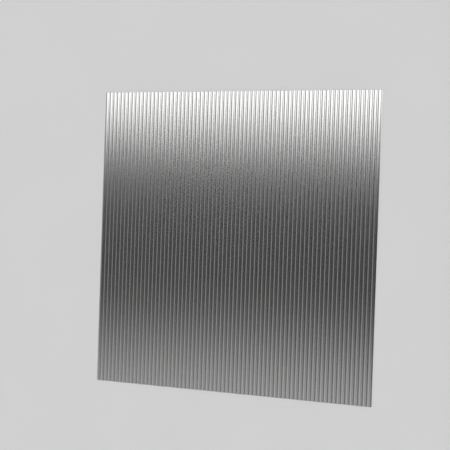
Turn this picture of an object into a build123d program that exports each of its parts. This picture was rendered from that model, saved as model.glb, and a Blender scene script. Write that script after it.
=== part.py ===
from build123d import *

import os

# Corrugated metal sheet: one thin sheet with fine, even waves, lying flat. Millimetres.
# X runs across the waves, Y along them and Z up. The origin is under the middle of the
# sheet, at the level of the troughs that it rests on.

wave_pitch = 14.5  # from one crest to the next
crest_width = 10.0  # across the arc over a crest, and the trough takes the rest
wave_count = 69  # crests across the sheet, each with half a trough on both sides
wave_depth = 2.0  # from trough to crest, on one face of the metal
gauge = 0.8  # thickness of the metal
sheet_length = 1000.0  # along the waves

sheet_width = wave_count * wave_pitch
left_side = -sheet_width / 2
right_side = sheet_width / 2

# Each wave is a wide arc over the crest and a narrow one through the trough, drawn along the
# middle of the metal's thickness. The arcs share the depth as they share the pitch, which
# makes them meet tangent.
crest_rise = wave_depth * crest_width / wave_pitch
trough_drop = wave_depth - crest_rise
meeting_height = gauge / 2 + trough_drop

# The waves are rolled one past each side of the sheet, which is then sheared to its width.
crests = [
    (left_side + wave_pitch * (index + 0.5), meeting_height)
    for index in range(-1, wave_count + 1)
]

with BuildLine() as wave:
    crest = ThreePointArc((-crest_width / 2, 0), (0, crest_rise), (crest_width / 2, 0))
    ThreePointArc(crest @ 1, (wave_pitch / 2, -trough_drop), crest @ 0 + (wave_pitch, 0))

with BuildPart() as corrugated_sheet:
    with BuildSketch(Plane.XZ) as section:
        with BuildLine():
            with Locations(*crests):
                add(wave.line)
            offset(amount=gauge / 2, side=Side.BOTH)
        make_face()
    extrude(amount=sheet_length / 2, both=True)

    # The side edges are sheared straight down through the bottom of a trough, so the sheet
    # rests flat out to both of them.
    split(bisect_by=Plane.YZ.offset(left_side), keep=Keep.TOP)
    split(bisect_by=Plane.YZ.offset(right_side), keep=Keep.BOTTOM)

corrugated_sheet.part.label = "corrugated_sheet"

os.makedirs("parts", exist_ok=True)
export_step(corrugated_sheet.part, "parts/corrugated_sheet.step")
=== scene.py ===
import math

import bmesh
import bpy
from mathutils import Matrix, Vector


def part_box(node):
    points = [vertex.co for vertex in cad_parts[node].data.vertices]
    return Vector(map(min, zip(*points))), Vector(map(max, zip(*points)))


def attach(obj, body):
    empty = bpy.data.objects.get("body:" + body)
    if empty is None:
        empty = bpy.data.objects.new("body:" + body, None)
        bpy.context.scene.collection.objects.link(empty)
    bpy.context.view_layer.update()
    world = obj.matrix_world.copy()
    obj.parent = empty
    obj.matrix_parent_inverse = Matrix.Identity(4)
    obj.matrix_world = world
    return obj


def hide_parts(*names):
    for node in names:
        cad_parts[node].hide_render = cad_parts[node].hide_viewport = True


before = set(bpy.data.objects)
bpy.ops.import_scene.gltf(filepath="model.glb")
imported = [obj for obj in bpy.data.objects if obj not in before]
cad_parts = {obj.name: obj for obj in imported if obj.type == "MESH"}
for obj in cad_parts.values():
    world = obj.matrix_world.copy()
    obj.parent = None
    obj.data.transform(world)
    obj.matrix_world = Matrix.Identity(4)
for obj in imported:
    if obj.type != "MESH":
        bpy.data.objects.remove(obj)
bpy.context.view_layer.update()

# The sheet. One piece of thin aluminium, cold rolled flat and then roll formed into fine,
# even waves that run from end to end. It is sheared square at the ends and straight down
# through the waves at the sides, and it rests on its troughs.
wave_pitch = 0.0145  # from one crest to the next
crest_width = 0.010  # across the arc over a crest, and the trough takes the rest
wave_depth = 0.002  # from trough to crest, on one face of the metal
gauge = 0.0008  # thickness of the metal
steps_per_arc = 16
edge_break = 0.0001
merge_distance = 1e-6

sheet_low, sheet_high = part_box("corrugated_sheet")
wave_count = round((sheet_high.x - sheet_low.x) / wave_pitch)

# Along the middle of the metal's thickness, a wide arc over each crest meets a narrow one
# through each trough, and both have the same slope where they meet.
trough_width = wave_pitch - crest_width
slope = 2 * math.atan(2 * wave_depth / wave_pitch)
crest_radius = crest_width / 2 / math.sin(slope)
trough_radius = trough_width / 2 / math.sin(slope)
meeting_height = sheet_low.z + gauge / 2 + wave_depth * trough_width / wave_pitch

# A line on the underside is spun over each crest and back through each trough, from one
# wave outside the left side to one outside the right.
arc_start = sheet_low.x - wave_pitch / 2 - crest_width / 2
sheet = bmesh.new()
line = sheet.edges.new([
    sheet.verts.new((
        arc_start + math.sin(slope) * gauge / 2,
        end,
        meeting_height - math.cos(slope) * gauge / 2,
    ))
    for end in (sheet_low.y, sheet_high.y)
])
for arc_index in range(2 * (wave_count + 2)):
    over_crest = arc_index % 2 == 0
    arc_width = crest_width if over_crest else trough_width
    centre_drop = math.cos(slope) * (crest_radius if over_crest else -trough_radius)
    spun = bmesh.ops.spin(
        sheet,
        geom=[line],
        cent=(arc_start + arc_width / 2, 0, meeting_height - centre_drop),
        axis=(0, 1, 0),
        angle=2 * slope if over_crest else -2 * slope,
        steps=steps_per_arc,
    )
    line = next(item for item in spun["geom_last"] if isinstance(item, bmesh.types.BMEdge))
    arc_start += arc_width
bmesh.ops.remove_doubles(sheet, verts=sheet.verts, dist=merge_distance)
bmesh.ops.solidify(sheet, geom=sheet.faces[:], thickness=gauge)

# The shear cuts each side straight down. The cuts are closed and all faces turned outwards.
for side, outward in ((sheet_low.x, -1), (sheet_high.x, 1)):
    cut = bmesh.ops.bisect_plane(
        sheet,
        geom=sheet.verts[:] + sheet.edges[:] + sheet.faces[:],
        plane_co=(side, 0, 0),
        plane_no=(outward, 0, 0),
        clear_outer=True,
    )
    cut_edges = [item for item in cut["geom_cut"] if isinstance(item, bmesh.types.BMEdge)]
    bmesh.ops.edgeloop_fill(sheet, edges=cut_edges)
bmesh.ops.recalc_face_normals(sheet, faces=sheet.faces)

# The cut edges are broken by a hair, and the waves are smooth between them.
least_cut_angle = math.radians(40)
bmesh.ops.bevel(
    sheet,
    geom=[edge for edge in sheet.edges if edge.calc_face_angle(0) > least_cut_angle],
    offset=edge_break,
    segments=2,
    profile=0.5,
    affect="EDGES",
    material=-1,
)
for face in sheet.faces:
    face.smooth = True
most_smooth_angle = math.radians(12)
for edge in sheet.edges:
    edge.smooth = edge.calc_face_angle(0) < most_smooth_angle

corrugated_metal = bpy.data.objects.new("corrugated_metal", bpy.data.meshes.new("corrugated_metal"))
bpy.context.collection.objects.link(corrugated_metal)
sheet.to_mesh(corrugated_metal.data)
sheet.free()


def linear(hex_colour):
    """An sRGB hex colour as the linear numbers that shaders take."""
    levels = [int(hex_colour[digit:digit + 2], 16) / 255 for digit in (1, 3, 5)]
    return [
        level / 12.92 if level <= 0.04045 else ((level + 0.055) / 1.055) ** 2.4
        for level in levels
    ] + [1]


def add_node(tree, kind, settings=None, **links):
    """Adds a node, sets its properties and links or fills its inputs by name or number."""
    node = tree.nodes.new(kind)
    for name, value in (settings or {}).items():
        setattr(node, name, value)
    for name, value in links.items():
        key = int(name[1:]) if name[1:].isdigit() else name.replace("_", " ")
        if isinstance(value, bpy.types.NodeSocket):
            tree.links.new(value, node.inputs[key])
        else:
            node.inputs[key].default_value = value
    return node


# Mill-finish aluminium: bare metal, clean and satin. The rolls leave fine lines along the
# waves, which the eye reads as a slight streak in the gloss. The real ones are too fine to
# show, so they are drawn coarser, about 3 mm apart and 170 mm long.
line_spacing = 1 / 300
line_length = 1 / 6
aluminium = bpy.data.materials.new("mill_finish_aluminium")
aluminium.use_nodes = True
tree = aluminium.node_tree
tree.nodes.clear()
place = add_node(tree, "ShaderNodeTexCoord").outputs["Object"]
stretched = add_node(
    tree, "ShaderNodeMapping",
    Vector=place, Scale=(1 / line_spacing, 1 / line_length, 1 / line_spacing),
).outputs[0]
lines = add_node(tree, "ShaderNodeTexNoise", Vector=stretched, Scale=1.0, Detail=3.0).outputs["Fac"]
rough = add_node(tree, "ShaderNodeMapRange", Value=lines, To_Min=0.115, To_Max=0.125).outputs[0]
metal = add_node(
    tree, "ShaderNodeBsdfPrincipled",
    Base_Color=linear("#E6E6E5"), Metallic=1.0, Roughness=rough,
)
add_node(tree, "ShaderNodeOutputMaterial", Surface=metal.outputs[0])
corrugated_metal.data.materials.append(aluminium)

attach(corrugated_metal, "root")
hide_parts("corrugated_sheet")

# The floor. A wide studio floor with a matt face in a pale paint that is very slightly
# mottled. It lies level, a hair under the troughs.
floor_reach = 12.0
floor_gap = 0.0001
mottle_width = 1 / 3
floor_mesh = bmesh.new()
bmesh.ops.create_grid(floor_mesh, x_segments=1, y_segments=1, size=floor_reach)
bmesh.ops.translate(floor_mesh, verts=floor_mesh.verts, vec=(0, 0, sheet_low.z - floor_gap))
studio_floor = bpy.data.objects.new("studio_floor", bpy.data.meshes.new("studio_floor"))
bpy.context.collection.objects.link(studio_floor)
floor_mesh.to_mesh(studio_floor.data)
floor_mesh.free()

floor_paint = bpy.data.materials.new("matt_floor_paint")
floor_paint.use_nodes = True
tree = floor_paint.node_tree
tree.nodes.clear()
place = add_node(tree, "ShaderNodeTexCoord").outputs["Object"]
mottle = add_node(
    tree, "ShaderNodeTexNoise", Vector=place, Scale=1 / mottle_width, Detail=2.0,
).outputs["Fac"]
paint = add_node(
    tree, "ShaderNodeMix", {"data_type": "RGBA"},
    Factor=mottle, _6=linear("#DEDEDE"), _7=linear("#E2E2E2"),
).outputs[2]
matt = add_node(tree, "ShaderNodeBsdfPrincipled", Base_Color=paint, Roughness=0.9)
add_node(tree, "ShaderNodeOutputMaterial", Surface=matt.outputs[0])
studio_floor.data.materials.append(floor_paint)

# The studio light. A pale cloth tent stands all round the sheet, with a roof over each end
# and a dim gap overhead between the two. A bright strip lamp hangs across the gap on its far
# side, and a weak one on its near side.
far_strip = 2.45
near_strip = 0.39
gap = 0.035
roof = 1.65
end_wall = 0.55
side_wall = 0.38
foot = 0.38

tent = bpy.data.worlds.new("light_tent")
bpy.context.scene.world = tent
tent.use_nodes = True
tree = tent.node_tree
tree.nodes.clear()
direction = add_node(tree, "ShaderNodeTexCoord").outputs["Generated"]
heading = add_node(tree, "ShaderNodeSeparateXYZ", Vector=direction).outputs

# Each row adds a part of the light or dims what the rows above it gave. Its last four
# numbers are the headings along its axis where the change starts and ends, and the value
# before and after that.
light_parts = (
    ("ADD", "Y", 0.025, 0.12, 0, far_strip),  # the lamp on the far side of the gap
    ("ADD", "Y", 0.15, 0.3, 0, -far_strip),  # and where it stops
    ("MULTIPLY", "X", -0.6, -0.9, 1, 0),  # it goes out low on the left
    ("ADD", "Y", -0.06, -0.16, 0, near_strip),  # the lamp on the near side of the gap
    ("ADD", "Y", -0.2, -0.35, 0, -near_strip),  # and where that stops
    ("MULTIPLY", "X", 0.05, 0.45, 1, 0.34),  # both lamps weaken to the right
    ("ADD", "X", -0.6, -1, gap, side_wall),  # the dim gap, and the wall on the left
    ("ADD", "Z", 0.12, 0.04, 0, foot),  # the foot of the tent, all round
    ("ADD", "Y", 0.15, 0.3, 0, roof),  # the roof over the far end
    ("ADD", "Y", 0.45, 0.6, 0, end_wall - roof),  # and the wall under it
    ("ADD", "Y", -0.17, -0.35, 0, roof),  # the roof over the near end
    ("ADD", "Y", -0.45, -0.6, 0, end_wall - roof),  # and the wall under it
    ("MULTIPLY", "X", 0.1, -0.8, 1, 0.72),  # all of it is a little weaker on the left
    ("MULTIPLY", "X", 0.25, 0.9, 1, 0.62),  # and weaker on the right
)
glow = 0
for operation, axis, start, full, before, after in light_parts:
    share = add_node(
        tree, "ShaderNodeMapRange", {"interpolation_type": "SMOOTHSTEP"}, Value=heading[axis],
        From_Min=start, From_Max=full, To_Min=before, To_Max=after,
    )
    glow = add_node(
        tree, "ShaderNodeMath", {"operation": operation}, _0=glow, _1=share.outputs[0],
    ).outputs[0]
sky = add_node(tree, "ShaderNodeBackground", Color=(1, 1, 1, 1), Strength=glow)
add_node(tree, "ShaderNodeOutputWorld", Surface=sky.outputs[0])

# The camera. It stands over the right of the sheet and looks down on it, at the angle that
# the photograph has to the sheet's face.
camera_place = Vector((1.7085, 0.1027, 3.7741))
looks_at = Vector((-0.029, 0.056, 0))
picture_up = Vector((-0.0368, 0.9993, 0))
lens_length = 100
sensor_width = 36

camera_data = bpy.data.cameras.new("camera")
camera_data.lens = lens_length
camera_data.sensor_width = sensor_width
camera = bpy.data.objects.new("camera", camera_data)
bpy.context.collection.objects.link(camera)
backward = (camera_place - looks_at).normalized()
rightward = picture_up.cross(backward).normalized()
upward = backward.cross(rightward)
turn = Matrix((rightward, upward, backward)).transposed()
camera.matrix_world = Matrix.Translation(camera_place) @ turn.to_4x4()
bpy.context.scene.camera = camera

bpy.context.scene.view_settings.view_transform = "Standard"
